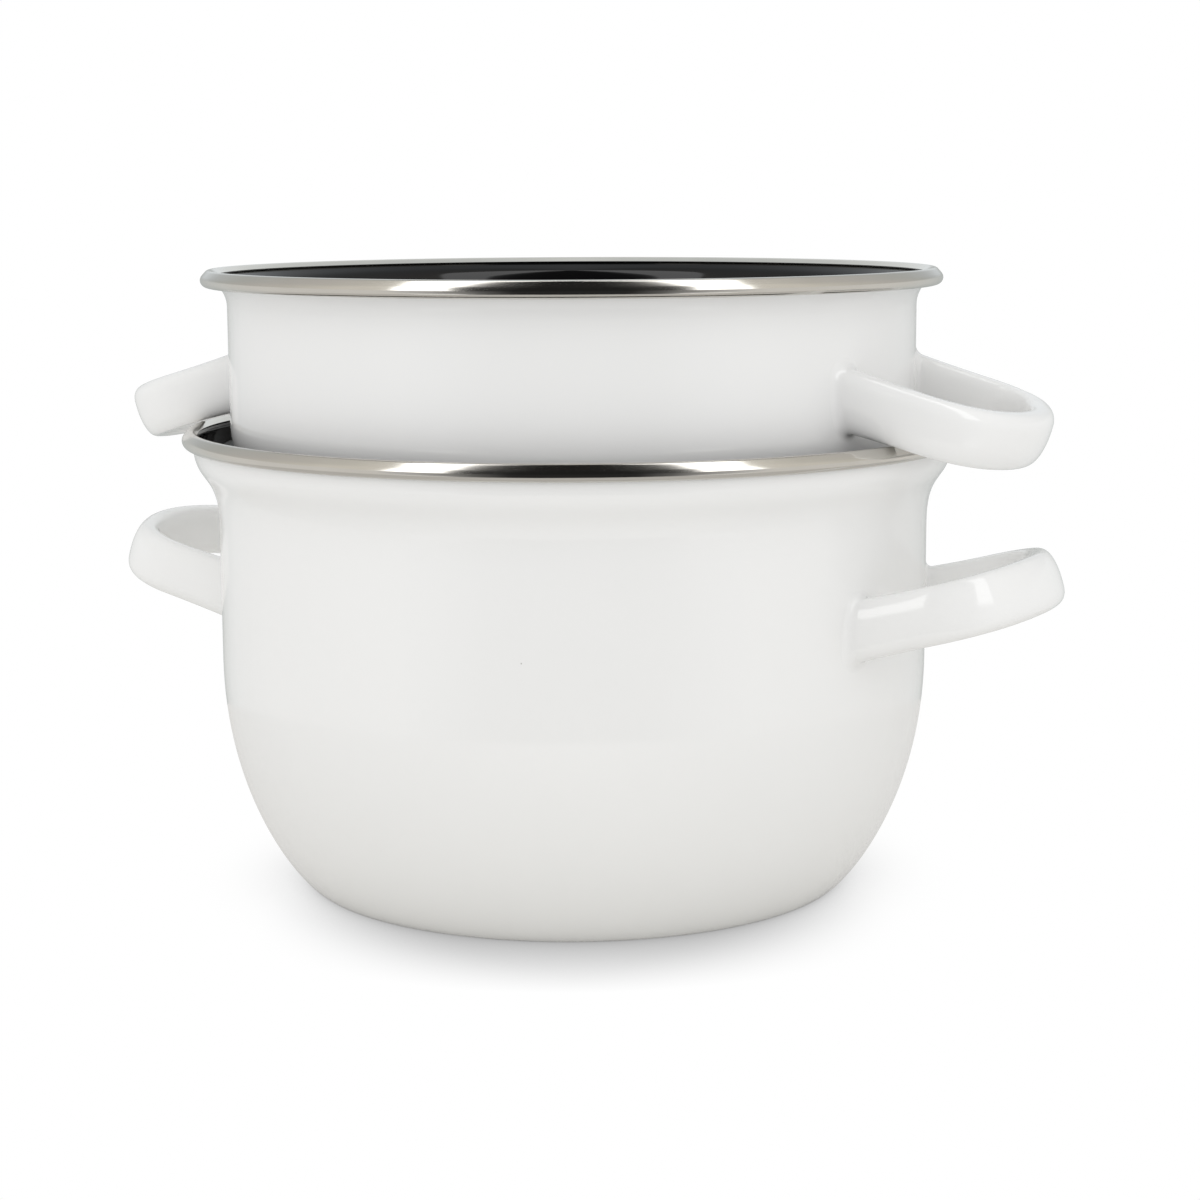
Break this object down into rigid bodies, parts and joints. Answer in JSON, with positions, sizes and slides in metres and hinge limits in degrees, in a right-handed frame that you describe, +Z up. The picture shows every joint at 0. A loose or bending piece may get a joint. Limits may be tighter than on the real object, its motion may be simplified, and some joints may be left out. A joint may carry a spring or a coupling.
{
  "type": "mussel pot",
  "caption": "Deep round enamelled steel pot with tube side handles and steel rims, and its deep dish-shaped lid standing in its mouth the right way up.",
  "frame": {"origin": "middle of the pot's flat base, on the surface that it stands on", "axes": "+Z up along the pot's axis; +X through the middle of the right-hand handles, so the handles point along X"},
  "size_m": [0.308, 0.24, 0.1897],
  "materials": {
    "white_enamel": "glossy white vitreous enamel on steel",
    "black_enamel": "glossy black vitreous enamel inside the vessels",
    "stainless_steel": "polished stainless steel rim ring"
  },
  "bodies": {
    "pot": {"pot_body": "white_enamel", "pot_rim_ring": "stainless_steel", "pot_handle_left": "white_enamel", "pot_handle_right": "white_enamel"},
    "dish": {"dish_body": "white_enamel", "dish_rim_ring": "stainless_steel", "dish_handle_left": "white_enamel", "dish_handle_right": "white_enamel"}
  },
  "joints": [
    {"name": "dish_lift", "type": "slide", "parent": "pot", "child": "dish", "axis": [0, 0, 1], "range_m": [0, 0.12]}
  ]
}
